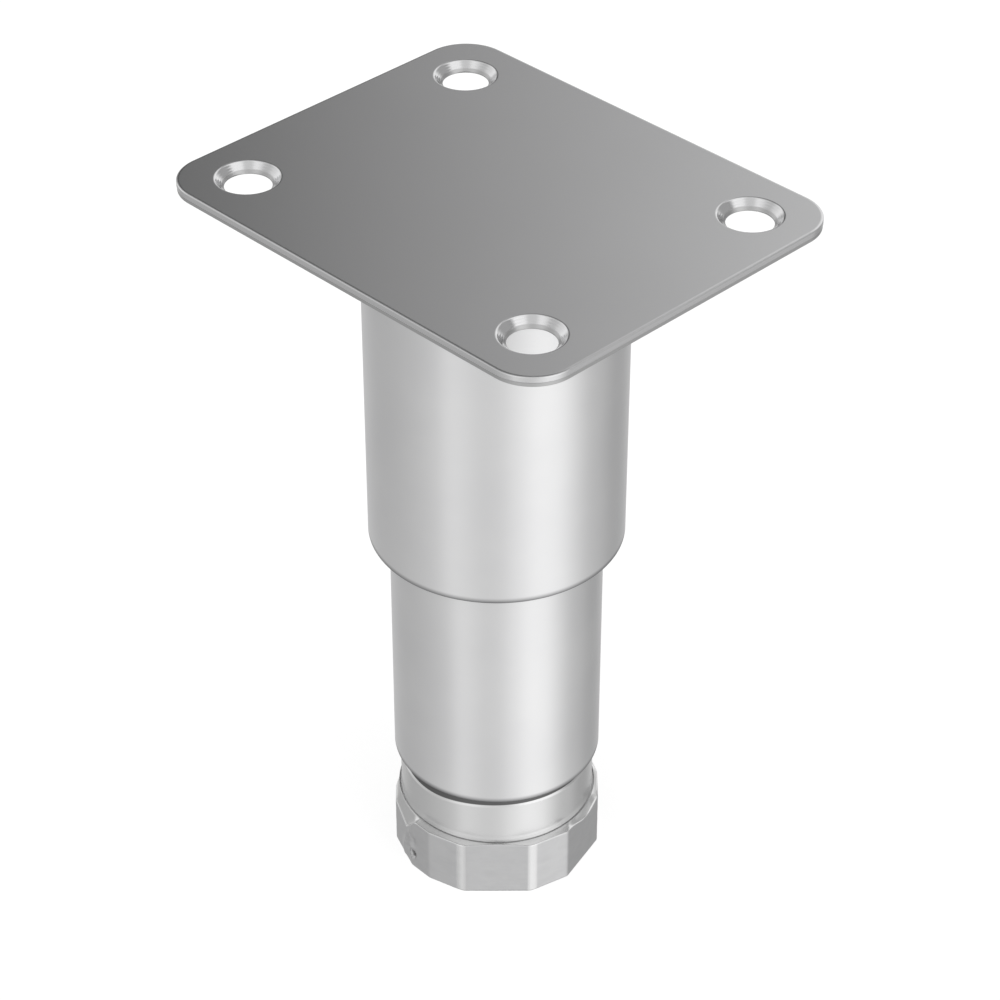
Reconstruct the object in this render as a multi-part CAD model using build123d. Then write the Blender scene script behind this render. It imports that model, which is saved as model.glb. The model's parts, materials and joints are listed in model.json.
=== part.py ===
from build123d import *

import math
import os

# Adjustable cabinet leg, in millimetres.
# The origin is on the floor under the middle of the leg. +Z is up and +X runs along the long side
# of the mounting plate. Turning the foot by its wrench flats screws the spindle in or out of the
# long nut under the plate, and the lower tube slides up or down with it.

# Mounting plate
plate_length = 98.0
plate_width = 80.0
plate_thickness = 2.0
plate_corner_radius = 9.0
plate_edge_rounding = 0.3
hole_spacing_long = 74.0
hole_spacing_short = 56.0
hole_diameter = 9.0
countersink_diameter = 12.4
countersink_angle = 90.0
countersink_lip_rounding = 0.25

# Upper tube, welded under the plate
upper_tube_diameter = 50.8
upper_tube_wall = 1.5
upper_tube_length = 73.1
tube_edge_break = 0.25
tube_weld_leg = 2.0
tube_weld_crown = 0.58

# Lower tube, which slides in the upper one. The guides fill the room between the two, on the radius.
guide_room = 2.7
lower_tube_wall = 1.5
lower_tube_show = 54.8

# Travel of the lower tube and foot from the height that the leg stands at
travel_in = 14.0
travel_out = 20.0
end_gap = 1.0

# Foot casting. On the radius, the neck stands out past the spigot and the base past the neck.
neck_step = 0.38
neck_height = 10.2
neck_arris_radius = 0.3
shoulder_reach = 2.3
shoulder_angle = 29.5
base_height = 12.9
base_edge_break = 0.35
tube_gap = 1.4
spigot_height = 13.7
foot_heading = -44.6

# Flats on the base, by how deep each is cut into its round side. The gate's side has two leaves.
wrench_flat_depth = 1.05
narrow_flat_depth = 0.3
parting_flat_depth = 0.9
gate_leaf_near_depth = 0.2
gate_leaf_near_angle = 13.0
gate_leaf_far_depth = 0.85
gate_leaf_far_angle = -8.0

# Mark that the casting gate left at the bottom of its side
gate_side_angle = -60.0
gate_width = 4.2
gate_height = 4.4
gate_proud = 0.45
gate_pit_diameter = 2.0
gate_pit_height = 1.8
gate_pit_angle = 6.0

# Coring inside the spigot, and the recess that leaves a rim under the base
hub_wall = 3.95
seal_back_wall = 1.4
pocket_floor = 8.0
rib_thickness = 6.0
rib_count = 4
floor_rim_width = 5.3
underside_recess_depth = 0.8

# Spindle and the long nut that it turns in
spindle_diameter = 16.0
spindle_socket_floor = 6.0
spindle_end_chamfer = 1.5
nut_across_flats = 24.0
nut_length = 48.0
nut_mouth_chamfer = 1.0
nut_corner_angle = 30.0
nut_weld_leg = 2.5

# Pin that locks the spindle in the foot
pin_diameter = 4.0
pin_wall = 0.7
pin_slit = 0.9
pin_height_in_spigot = 8.8
pin_end_setback = 1.5

# Seal in a groove round the spigot
seal_section = 2.0
seal_height_in_spigot = 2.7
seal_groove_width = 2.4

# Bearing in the lower tube that the foot turns in
plug_height = 12.0
plug_rim_wall = 3.0
plug_web = 5.0
plug_hub_wall = 3.4
plug_rib_thickness = 2.4
plug_rib_count = 6
bush_wall = 1.5
bush_flange_reach = 6.4
bush_flange_thickness = 1.5
thrust_washer_width = 9.0
thrust_washer_thickness = 1.5
clamp_washer_width = 4.0
clamp_washer_thickness = 1.5

# Retaining ring on the spindle
ring_thickness = 1.0
ring_groove_depth = 0.4
ring_groove_play = 0.1
ring_band = 2.2
ring_lug_radius = 1.9
ring_lug_hole_diameter = 1.7
ring_opening = 5.0

# Plastic guides between the two tubes
guide_skirt = 8.0
guide_cap = 1.5
bush_recess = 1.5
bush_slit = 1.5
guide_lead_in = 0.6
stop_gap = 0.5

# Clearances, each on the radius
running_clearance = 0.08
seal_clearance = 0.04
seat_clearance = 0.05

# Heights worked out from the sizes above
neck_top = base_height + neck_height
lower_tube_bottom = neck_top + tube_gap
upper_tube_bottom = lower_tube_bottom + lower_tube_show
plate_bottom = upper_tube_bottom + upper_tube_length
plate_top = plate_bottom + plate_thickness
spigot_top = lower_tube_bottom + spigot_height
plug_bottom = spigot_top + thrust_washer_thickness + bush_flange_thickness
plug_top = plug_bottom + plug_height
ring_bottom = plug_top + clamp_washer_thickness
spindle_top = plate_bottom - end_gap - travel_in
lower_tube_top = spindle_top - guide_cap
nut_bottom = plate_bottom - nut_length
guide_skirt_bottom = lower_tube_top - guide_skirt

# Radii worked out from the sizes above
upper_bore_radius = upper_tube_diameter / 2 - upper_tube_wall
lower_outer_radius = upper_bore_radius - guide_room
lower_bore_radius = lower_outer_radius - lower_tube_wall
spigot_radius = lower_bore_radius - running_clearance
neck_radius = spigot_radius + neck_step
base_radius = neck_radius + shoulder_reach
seal_radius = lower_bore_radius - seal_clearance - seal_section / 2
groove_radius = seal_radius - seal_section / 2 - seat_clearance
pocket_radius = groove_radius - seal_back_wall
spindle_radius = spindle_diameter / 2
socket_radius = spindle_radius + seat_clearance
hub_radius = socket_radius + hub_wall
bush_bore_radius = spindle_radius + running_clearance
bush_outer_radius = bush_bore_radius + bush_wall


def turned(points):
    """A piece turned round the leg's axis from (radius, height) corners."""
    outline = Polyline(*[(radius, 0, height) for radius, height in points], close=True)
    return revolve(make_face(outline), Axis.Z)


def ring(outer_radius, inner_radius, bottom, top, edge_break=0.0):
    """A plain ring, with its four edges broken by a small chamfer."""
    cut = edge_break
    if cut == 0:
        return turned(
            [(inner_radius, bottom), (outer_radius, bottom), (outer_radius, top), (inner_radius, top)]
        )
    return turned(
        [
            (inner_radius + cut, bottom),
            (outer_radius - cut, bottom),
            (outer_radius, bottom + cut),
            (outer_radius, top - cut),
            (outer_radius - cut, top),
            (inner_radius + cut, top),
            (inner_radius, top - cut),
            (inner_radius, bottom + cut),
        ]
    )


def rod(radius, bottom, top):
    """A plain round bar on the leg's axis."""
    return Pos(0, 0, bottom) * Cylinder(radius, top - bottom, align=(Align.CENTER, Align.CENTER, Align.MIN))


def screw_hole():
    """The tool that cuts one countersunk screw hole from above."""
    bore = hole_diameter / 2
    rim = countersink_diameter / 2
    depth = (rim - bore) / math.tan(math.radians(countersink_angle / 2))
    profile = [
        (0, plate_bottom - 1),
        (bore, plate_bottom - 1),
        (bore, plate_top - depth),
        (rim, plate_top),
        (rim, plate_top + 1),
        (0, plate_top + 1),
    ]
    return turned(profile)


def mounting_plate():
    """Sheet plate with round corners and four countersunk screw holes."""
    outline = RectangleRounded(plate_length, plate_width, plate_corner_radius)
    plate = Pos(0, 0, plate_bottom) * extrude(outline, plate_thickness)
    top_edges = plate.faces().sort_by(Axis.Z)[-1].edges()
    plate = fillet(top_edges, plate_edge_rounding)
    for spot in GridLocations(hole_spacing_long, hole_spacing_short, 2, 2):
        plate -= spot * screw_hole()
    rims = plate.edges().filter_by(GeomType.CIRCLE).filter_by(
        lambda edge: abs(edge.radius - countersink_diameter / 2) < 0.01
    )
    return fillet(rims, countersink_lip_rounding)


def upper_tube():
    """Welded tube, square at the plate and with its open end's edges broken."""
    outer = upper_tube_diameter / 2
    cut = tube_edge_break
    return turned(
        [
            (upper_bore_radius + cut, upper_tube_bottom),
            (outer - cut, upper_tube_bottom),
            (outer, upper_tube_bottom + cut),
            (outer, plate_bottom),
            (upper_bore_radius, plate_bottom),
            (upper_bore_radius, upper_tube_bottom + cut),
        ]
    )


def tube_weld():
    """Convex weld bead in the corner between the upper tube and the plate."""
    tube = upper_tube_diameter / 2
    leg = tube_weld_leg
    corner = (tube, 0, plate_bottom)
    at_plate = (tube + leg, 0, plate_bottom)
    at_tube = (tube, 0, plate_bottom - leg)
    crown = (tube + leg * tube_weld_crown, 0, plate_bottom - leg * tube_weld_crown)
    outline = Line(corner, at_plate) + ThreePointArc(at_plate, crown, at_tube) + Line(at_tube, corner)
    return revolve(make_face(outline), Axis.Z)


def coupling_nut():
    """Long hexagon nut, square where it is welded and with its free end's corners turned off."""
    apothem = nut_across_flats / 2
    corner = apothem / math.cos(math.radians(30))
    body = Pos(0, 0, nut_bottom) * extrude(RegularPolygon(corner, 6), nut_length)
    drop = (corner - apothem) * math.tan(math.radians(nut_corner_angle))
    envelope = turned(
        [
            (0, nut_bottom),
            (apothem, nut_bottom),
            (corner, nut_bottom + drop),
            (corner, plate_bottom),
            (0, plate_bottom),
        ]
    )
    thread_hole = turned(
        [
            (0, nut_bottom),
            (socket_radius + nut_mouth_chamfer, nut_bottom),
            (socket_radius, nut_bottom + nut_mouth_chamfer),
            (socket_radius, plate_bottom),
            (0, plate_bottom),
        ]
    )
    return (body & envelope) - thread_hole


def nut_weld():
    """Weld fillet round the hexagon where the long nut meets the plate."""
    corner = nut_across_flats / 2 / math.cos(math.radians(30))
    start = plate_bottom - nut_weld_leg
    bead = Pos(0, 0, start) * extrude(RegularPolygon(corner, 6), nut_weld_leg, taper=-45)
    hole = Pos(0, 0, start) * extrude(RegularPolygon(corner, 6), nut_weld_leg)
    return bead - hole


def guide_bush():
    """Split plastic bush in the mouth of the upper tube, which the lower tube slides in."""
    bottom = upper_tube_bottom + bush_recess
    top = guide_skirt_bottom - travel_out - stop_gap
    outer = upper_bore_radius - seat_clearance
    inner = lower_outer_radius + running_clearance
    slit = Pos(outer, 0, (bottom + top) / 2) * Box(2 * (outer - inner) + 2, bush_slit, top - bottom + 2)
    return ring(outer, inner, bottom, top, guide_lead_in) - slit


def lower_tube():
    """Sliding tube with both ends square and their edges broken."""
    return ring(lower_outer_radius, lower_bore_radius, lower_tube_bottom, lower_tube_top, tube_edge_break)


def guide_ring():
    """Plastic cap ring on the top end of the lower tube, which runs in the upper tube's bore."""
    outer = upper_bore_radius - running_clearance
    seat = lower_outer_radius + seat_clearance
    cap_top = lower_tube_top + guide_cap
    return turned(
        [
            (seat, guide_skirt_bottom),
            (outer - guide_lead_in, guide_skirt_bottom),
            (outer, guide_skirt_bottom + guide_lead_in),
            (outer, cap_top - guide_lead_in),
            (outer - guide_lead_in, cap_top),
            (lower_bore_radius, cap_top),
            (lower_bore_radius, lower_tube_top),
            (seat, lower_tube_top),
        ]
    )


def bearing_plug():
    """Moulded plug fixed in the lower tube: a rim and a hub on one web, stiffened by ribs."""
    rim = lower_bore_radius - seat_clearance
    bore = bush_outer_radius + seat_clearance
    hub = bore + plug_hub_wall
    blank = ring(rim, bore, plug_bottom, plug_top)
    well = ring(rim - plug_rim_wall, hub, plug_bottom + plug_web, plug_top + 1)
    rib_height = plug_height - plug_web
    for turn in PolarLocations(0, plug_rib_count):
        well -= turn * Pos((rim + hub) / 2, 0, plug_bottom + plug_web + rib_height / 2) * Box(
            rim, plug_rib_thickness, rib_height
        )
    return blank - well


def spindle_bush():
    """Flanged plain bearing in the plug's bore."""
    flange = bush_outer_radius + bush_flange_reach
    return turned(
        [
            (bush_bore_radius, spigot_top + thrust_washer_thickness),
            (flange, spigot_top + thrust_washer_thickness),
            (flange, plug_bottom),
            (bush_outer_radius, plug_bottom),
            (bush_outer_radius, plug_top),
            (bush_bore_radius, plug_top),
        ]
    )


def flat_cutter(angle, depth):
    """Block that cuts one flat into the base, square to the given angle."""
    block = Box(base_radius, 2 * base_radius, 2 * base_height, align=(Align.MIN, Align.CENTER, Align.CENTER))
    return Rot(0, 0, angle) * Pos(base_radius - depth, 0, 0) * block


def base_flats():
    """Angle and depth of each flat, counted from the wrench flat that faces forward."""
    flats = [(angle, wrench_flat_depth) for angle in (0, 60, 120, 180, -120)]
    flats += [(angle, narrow_flat_depth) for angle in (30, 150, -30, -150)]
    flats += [(angle, parting_flat_depth) for angle in (90, -90)]
    flats += [(gate_side_angle + gate_leaf_near_angle, gate_leaf_near_depth)]
    flats += [(gate_side_angle + gate_leaf_far_angle, gate_leaf_far_depth)]
    return flats


def gate_mark(casting):
    """Adds the low lump that the gate left, with the pit beside it."""
    lump_radius = gate_width / 2
    ridge = base_radius - gate_leaf_far_depth
    at_gate = Rot(0, 0, gate_side_angle) * Pos(ridge + gate_proud - lump_radius, 0, 0)
    lump = Cylinder(lump_radius, gate_height, align=(Align.CENTER, Align.CENTER, Align.MIN))
    lump = chamfer(lump.edges().sort_by(Axis.Z)[-1], gate_proud)
    at_pit = Rot(0, 0, gate_side_angle + gate_pit_angle) * Pos(ridge + gate_proud / 2, 0, gate_pit_height)
    return casting + at_gate * lump - at_pit * Sphere(gate_pit_diameter / 2)


def foot_blank():
    """The casting before its flats: base, sloped shoulder, neck and spigot on one axis."""
    slope = math.tan(math.radians(shoulder_angle))
    shoulder_bottom = base_height - (base_radius - neck_radius) * slope
    cut = base_edge_break
    blank = turned(
        [
            (0, 0),
            (base_radius - cut, 0),
            (base_radius, cut),
            (base_radius, shoulder_bottom),
            (neck_radius, base_height),
            (neck_radius, neck_top),
            (spigot_radius, neck_top),
            (spigot_radius, spigot_top),
            (0, spigot_top),
        ]
    )
    neck_edge = blank.edges().filter_by(GeomType.CIRCLE).filter_by(
        lambda edge: abs(edge.radius - neck_radius) < 0.01 and abs(edge.center().Z - neck_top) < 0.01
    )
    return fillet(neck_edge, min(neck_arris_radius, 0.9 * neck_step))


def spigot_coring():
    """Ring-shaped pocket inside the spigot, crossed by ribs."""
    pocket = ring(pocket_radius, hub_radius, pocket_floor, spigot_top + 1)
    height = spigot_top - pocket_floor + 1
    for turn in PolarLocations(0, rib_count):
        rib = Box(2 * pocket_radius, rib_thickness, height, align=(Align.MIN, Align.CENTER, Align.MIN))
        pocket -= turn * Pos(0, 0, pocket_floor) * rib
    return pocket


def seal_groove():
    """Groove round the spigot, as deep as the seal ring that sits in it."""
    middle = lower_tube_bottom + seal_height_in_spigot
    half = seal_groove_width / 2
    return ring(spigot_radius + 1, groove_radius, middle - half, middle + half)


def pin_axis():
    """Place of the cross pin, which lies along two of the ribs."""
    return Pos(0, 0, lower_tube_bottom + pin_height_in_spigot) * Rot(0, 90, 0)


def foot():
    """Foot casting: wrench base, neck, and a cored spigot with the spindle's socket."""
    body = foot_blank()
    for angle, depth in base_flats():
        body -= flat_cutter(angle, depth)
    body = gate_mark(body)
    body -= spigot_coring()
    body -= seal_groove()
    body -= rod(socket_radius, spindle_socket_floor, spigot_top + 1)
    body -= rod(base_radius - floor_rim_width, -1, underside_recess_depth)
    body -= pin_axis() * Cylinder(pin_diameter / 2 + seat_clearance, 2 * neck_radius)
    return Rot(0, 0, foot_heading) * body


def spindle():
    """Threaded bar with a plain lower end, a cross hole for the pin and a ring groove."""
    cut = spindle_end_chamfer
    groove = spindle_radius - ring_groove_depth
    groove_top = ring_bottom + ring_thickness + ring_groove_play
    body = turned(
        [
            (0, spindle_socket_floor),
            (spindle_radius - cut, spindle_socket_floor),
            (spindle_radius, spindle_socket_floor + cut),
            (spindle_radius, ring_bottom),
            (groove, ring_bottom),
            (groove, groove_top),
            (spindle_radius, groove_top),
            (spindle_radius, spindle_top - cut),
            (spindle_radius - cut, spindle_top),
            (0, spindle_top),
        ]
    )
    body -= pin_axis() * Cylinder(pin_diameter / 2 + seat_clearance, spindle_diameter + 2)
    return Rot(0, 0, foot_heading) * body


def foot_pin():
    """Slotted spring pin through the foot's hub and the spindle."""
    radius = pin_diameter / 2
    length = 2 * (spigot_radius - pin_end_setback)
    body = Cylinder(radius, length) - Cylinder(radius - pin_wall, length)
    body -= Pos(radius, 0, 0) * Box(2 * radius, pin_slit, length)
    return Rot(0, 0, foot_heading) * pin_axis() * body


def neck_seal():
    """Rubber seal ring in the spigot's groove."""
    return Pos(0, 0, lower_tube_bottom + seal_height_in_spigot) * Torus(seal_radius, seal_section / 2)


def thrust_washer():
    """Hard washer between the foot's hub and the bearing's flange."""
    outer = socket_radius + thrust_washer_width
    return ring(outer, socket_radius, spigot_top, spigot_top + thrust_washer_thickness)


def clamp_washer():
    """Washer on top of the bearing, under the retaining ring."""
    outer = socket_radius + clamp_washer_width
    return ring(outer, socket_radius, plug_top, plug_top + clamp_washer_thickness)


def retaining_ring():
    """Open spring ring with two eyed lugs, seated in the spindle's groove."""
    inner = spindle_radius - ring_groove_depth + seat_clearance
    middle = inner + ring_band / 2
    lug_spread = ring_opening / 2 + ring_lug_radius / 2
    band = Circle(inner + ring_band)
    eyes = Sketch()
    for side in (-1, 1):
        place = Pos(side * lug_spread, middle + ring_lug_radius / 2)
        band += place * Circle(ring_lug_radius)
        eyes += place * Circle(ring_lug_hole_diameter / 2)
    opening = Pos(0, middle + inner) * Rectangle(ring_opening / 2, 4 * inner)
    profile = band - Circle(inner) - eyes - (opening - Circle(inner))
    return Rot(0, 0, foot_heading) * Pos(0, 0, ring_bottom) * extrude(profile, ring_thickness)


parts = {
    "mounting_plate": mounting_plate,
    "upper_tube": upper_tube,
    "tube_weld": tube_weld,
    "coupling_nut": coupling_nut,
    "nut_weld": nut_weld,
    "guide_bush": guide_bush,
    "lower_tube": lower_tube,
    "guide_ring": guide_ring,
    "bearing_plug": bearing_plug,
    "spindle_bush": spindle_bush,
    "foot": foot,
    "spindle": spindle,
    "foot_pin": foot_pin,
    "neck_seal": neck_seal,
    "thrust_washer": thrust_washer,
    "clamp_washer": clamp_washer,
    "retaining_ring": retaining_ring,
}

os.makedirs("parts", exist_ok=True)
for name, make in parts.items():
    export_step(make(), f"parts/{name}.step")
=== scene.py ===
# %% [markdown]
# # An adjustable cabinet leg in bare metal
# A screw plate, two tubes that slide in each other and a cast foot that is turned with a wrench.
# Bare metal has hardly any colour of its own: it shows what stands around it. So this lesson gives
# the studio as much care as the pieces.
#
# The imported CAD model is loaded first, as a fixed frame. Every piece made below takes its place and
# its sizes from that frame, and stands for the CAD node of the same name.

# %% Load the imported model
import json
import math

import bmesh
import bpy
import numpy as np
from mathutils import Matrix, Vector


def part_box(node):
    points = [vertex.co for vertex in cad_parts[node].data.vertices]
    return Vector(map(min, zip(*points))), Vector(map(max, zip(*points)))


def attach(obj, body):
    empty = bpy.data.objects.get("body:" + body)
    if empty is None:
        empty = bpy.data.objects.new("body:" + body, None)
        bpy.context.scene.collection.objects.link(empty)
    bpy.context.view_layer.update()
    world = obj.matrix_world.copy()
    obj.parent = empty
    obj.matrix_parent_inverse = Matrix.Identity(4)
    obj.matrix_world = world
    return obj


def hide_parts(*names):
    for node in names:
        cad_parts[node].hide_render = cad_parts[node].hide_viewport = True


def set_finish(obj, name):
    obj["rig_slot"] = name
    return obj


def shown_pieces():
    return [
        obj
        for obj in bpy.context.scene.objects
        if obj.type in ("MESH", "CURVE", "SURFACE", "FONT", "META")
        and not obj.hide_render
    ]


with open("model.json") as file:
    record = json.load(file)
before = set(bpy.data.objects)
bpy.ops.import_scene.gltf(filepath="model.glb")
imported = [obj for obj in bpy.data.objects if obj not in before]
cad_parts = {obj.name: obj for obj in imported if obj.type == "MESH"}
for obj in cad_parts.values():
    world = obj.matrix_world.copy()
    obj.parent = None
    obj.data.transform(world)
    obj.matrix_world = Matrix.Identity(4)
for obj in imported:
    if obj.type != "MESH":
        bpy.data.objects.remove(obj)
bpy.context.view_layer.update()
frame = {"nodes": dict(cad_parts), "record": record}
mm = 0.001
print("CAD nodes:", ", ".join(sorted(frame["nodes"])))

# %% [markdown]
# ## Sizes
# A node's box gives the lowest and highest corner of a piece, and the record gives the screw holes.
# Working in millimetres keeps the numbers short. They become metres in the one place where a mesh
# is made.

# %% Sizes that the frame gives
def box_mm(node):
    """Lowest and highest corner of a CAD node, in millimetres."""
    low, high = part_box(node)
    return np.array(low) / mm, np.array(high) / mm


plate_low, plate_high = box_mm("mounting_plate")
plate_bottom, plate_top = plate_low[2], plate_high[2]
upper_radius = box_mm("upper_tube")[1][0]
upper_bottom = box_mm("upper_tube")[0][2]
lower_radius = box_mm("lower_tube")[1][0]
lower_bottom, lower_top = box_mm("lower_tube")[0][2], box_mm("lower_tube")[1][2]
spigot_top = box_mm("foot")[1][2]
holes = next(m for m in frame["record"]["mounts"] if m["name"] == "plate_holes")["dims"]
hole_x, hole_y = holes["spacing_x_mm"] / 2, holes["spacing_y_mm"] / 2
bore_radius = holes["hole_r_mm"]
print("plate:", (plate_high - plate_low).round(2), "mm")
print("radius of each tube:", upper_radius.round(2), "and", lower_radius.round(2), "mm")

# %% [markdown]
# ## From formula to mesh
# Each new piece is a grid of points that a formula gives: rows along the section, columns round or
# along the piece. One function turns grids into a mesh. It makes a face of each cell, welds the
# points that coincide, which closes seams and poles, and turns all faces outwards.

# %% Grids of points become a closed mesh
weld_distance, shortest_edge = 0.0005, 0.0002


def make_piece(name, grids, body, slot):
    """Joins grids (rows, columns, xyz in millimetres) into one welded, smooth mesh object.

    Point (row, column) has the index row * columns + column, so a face joins the points at
    (r, c), (r, c + 1), (r + 1, c + 1) and (r + 1, c).
    """
    points, faces, start = [], [], 0
    for grid in grids:
        rows, columns = grid.shape[:2]
        corner = start + np.arange(rows - 1)[:, None] * columns + np.arange(columns - 1)[None, :]
        cell = np.stack([corner, corner + 1, corner + columns + 1, corner + columns], axis=-1)
        points.append(grid.reshape(-1, 3) * mm)
        faces.append(cell.reshape(-1, 4))
        start += rows * columns
    mesh = bpy.data.meshes.new(name)
    mesh.from_pydata(np.concatenate(points).tolist(), [], np.concatenate(faces).tolist())
    work = bmesh.new()
    work.from_mesh(mesh)
    bmesh.ops.remove_doubles(work, verts=work.verts, dist=weld_distance * mm)
    bmesh.ops.dissolve_degenerate(work, edges=work.edges, dist=shortest_edge * mm)
    bmesh.ops.recalc_face_normals(work, faces=work.faces)
    open_edges = sum(1 for edge in work.edges if len(edge.link_faces) != 2)
    work.to_mesh(mesh)
    work.free()
    mesh.shade_smooth()
    piece = bpy.data.objects.new(name, mesh)
    bpy.context.scene.collection.objects.link(piece)
    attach(piece, body)
    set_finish(piece, slot)
    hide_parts(name.removesuffix("_fine"))
    triangles = sum(len(face.vertices) - 2 for face in mesh.polygons)
    print(f"{name}: {triangles} triangles, {open_edges} open edges")
    return piece


# %% [markdown]
# Sheet metal, tubes and castings have no knife-sharp edges, and it is the small rounding that
# catches the light. So a section is written as corners, each with a rounding of its own. A short
# step beside every arc keeps the smooth shading of the rounding off the flat next to it.

# %% A section with rounded corners
def rounded(corners, longest=400.0, arc_steps=6, guard=0.12):
    """Line through corners (radius, height, rounding, extras...), each turned into a tangent arc.

    For a corner P between unit directions a and b that meet at the angle w, the arc starts at
    P + a * t with t = rounding / tan(w / 2), and its centre is P + (a + b) / |a + b| *
    rounding / sin(w / 2). Extras, such as a weight, are carried along and blended on the runs.
    """
    corners = np.array(corners, float)
    place, rounding, extras = corners[:, :2], corners[:, 2], corners[:, 3:]
    stops = []
    for k in range(len(corners)):
        inner = 0 < k < len(corners) - 1 and rounding[k] > 0
        if not inner:
            stops.append((place[k][None, :], k))
            continue
        a = (place[k - 1] - place[k]) / np.linalg.norm(place[k - 1] - place[k])
        b = (place[k + 1] - place[k]) / np.linalg.norm(place[k + 1] - place[k])
        w = math.acos(np.clip(a @ b, -1, 1))
        reach = rounding[k] / math.tan(w / 2)
        centre = place[k] + (a + b) / np.linalg.norm(a + b) * rounding[k] / math.sin(w / 2)
        first, last = place[k] + a * reach - centre, place[k] + b * reach - centre
        turn = math.pi - w
        along = np.linspace(0, 1, arc_steps)[:, None]
        arc = (np.sin((1 - along) * turn) * first + np.sin(along * turn) * last) / math.sin(turn)
        stops.append((centre + arc, k))
    rows = []
    for (here, k), (after, n) in zip(stops, stops[1:] + [(None, None)]):
        rows.append(np.hstack([here, np.repeat(extras[k][None, :], len(here), axis=0)]))
        if after is None:
            continue
        length = np.linalg.norm(after[0] - here[-1])
        inside = np.linspace(0, 1, max(2, math.ceil(length / longest) + 1))[1:-1]
        if length > 3 * guard:
            inside = np.unique(np.concatenate([inside, [guard / length, 1 - guard / length]]))
        t = inside[:, None]
        run = here[-1] * (1 - t) + after[0] * t
        rows.append(np.hstack([run, extras[k] * (1 - t) + extras[n] * t]))
    return np.vstack(rows)


def turned(section, columns=256):
    """The section (radius r, height z) carried round the axis: (r cos u, r sin u, z)."""
    u = np.linspace(0, 2 * math.pi, columns + 1)
    r, z = section[:, 0][:, None], section[:, 1][:, None]
    return np.stack([r * np.cos(u), r * np.sin(u), z * np.ones_like(u)], axis=-1)


# %% [markdown]
# ## The two tubes
# Welded steel tube, cut square and polished while it turned. Round pieces could be Blender
# cylinders, but their edges would be sharp and their normals coarse. Here a closed section goes
# round the axis in 256 steps.

# %% Tubes
tube_wall = 1.5
rim_rounding, cut_rounding = 0.4, 0.25


def tube_section(outer, low, high):
    """Closed section of a tube's wall. The outer arris at the lower end is rounded the most."""
    bore = outer - tube_wall
    middle = (low + high) / 2
    corners = [
        (bore, middle, 0),
        (bore, low, cut_rounding),
        (outer, low, rim_rounding),
        (outer, high, cut_rounding),
        (bore, high, cut_rounding),
        (bore, middle, 0),
    ]
    return rounded(corners)


upper_section = tube_section(upper_radius, upper_bottom, plate_bottom)
lower_section = tube_section(lower_radius, lower_bottom, lower_top)
make_piece("upper_tube_fine", [turned(upper_section)], "fixed_top", "tube_steel")
make_piece("lower_tube_fine", [turned(lower_section)], "sliding_tube", "tube_steel")

# %% [markdown]
# ## The mounting plate
# A plate with four holes has no single section to carry round. It is cut into four quarters, and
# each quarter is a fan of rays from its hole to the quarter's outline. The rays go down through the
# countersink and back under the plate, so one grid gives top, hole and underside. The rim of the
# plate is a second grid, carried along the same outline. Holes cut with a Boolean would leave long
# thin faces, which shade badly on bare metal.

# %% Outline of one quarter, seen from its hole
corner_radius = 9.0
roll_reach, roll_drop = 0.6, 0.26
half_x, half_y = plate_high[0], plate_high[1]
hole_centre = np.array([hole_x, hole_y])
hair, touching = 1e-9, 1e-6


def quarter_outline(rays=216):
    """Where rays from the hole meet the quarter's outline, inset by the roll, and its normal there.

    A ray h + t d meets the straight sides at the smallest positive t, and the corner's circle
    |h + t d - c| = R at the larger root of the quadratic in t.
    """
    h = hole_centre
    side = np.array([half_x - roll_reach, half_y - roll_reach])
    centre = np.array([half_x, half_y]) - corner_radius
    reach = corner_radius - roll_reach
    ends = [[0, 0], [side[0], 0], [side[0], centre[1]], [centre[0], side[1]], [0, side[1]]]
    bends = np.arctan2(*(np.array(ends) - h).T[::-1])
    u = np.unique(np.concatenate([np.linspace(-math.pi, math.pi, rays, endpoint=False), bends]))
    d = np.stack([np.cos(u), np.sin(u)], axis=-1)
    with np.errstate(divide="ignore"):
        t = np.where(d > 0, (side - h) / d, np.where(d < 0, -h / d, np.inf)).min(axis=1)
    at = h + t[:, None] * d
    to_centre = h - centre
    along = d @ to_centre
    round_t = -along + np.sqrt(along**2 - to_centre @ to_centre + reach**2)
    in_corner = (at > centre - hair).all(axis=1)
    at = np.where(in_corner[:, None], h + round_t[:, None] * d, at)
    on_side = np.abs(at - side) < touching
    normal = np.where(in_corner[:, None], (at - centre) / reach, on_side.astype(float))
    return d, at, normal


ray, outline, outline_normal = quarter_outline()
print("rays in a quarter:", len(ray))

# %% [markdown]
# The rim is a punched edge. The punch draws the top face down in a soft roll and burnishes the upper
# part of the wall. The lower part is torn and stands back a little. Each hole has a turned
# countersink with a soft lip, and a plain bore below it.

# %% The hole, the two faces and the rim
sink_radius, lip_rounding = 6.2, 0.5
throat_rounding, mouth_rounding = 0.06, 0.12
face_below, face_above = 0.5, 1.2
burnish_depth, torn_setback = 1.15, 0.07
tear_height, tear_rounding, bottom_rounding = 0.1, 0.04, 0.1
rim_foot = roll_reach - torn_setback - bottom_rounding
# Shares of the way across a face. The rows lie closer near an edge, where the shading turns.
under_shares = [0, 0.02, 0.5, 0.9]
top_shares = [0.1, 0.35, 0.7, 0.96, 0.992, 1]


def spokes(start, end, shares, height):
    """Rows of points that go from the start points to the end points in the given shares."""
    flat = start + (end - start) * np.array(shares)[:, None, None]
    return np.concatenate([flat, np.full(flat.shape[:2] + (1,), height)], axis=-1)


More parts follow.
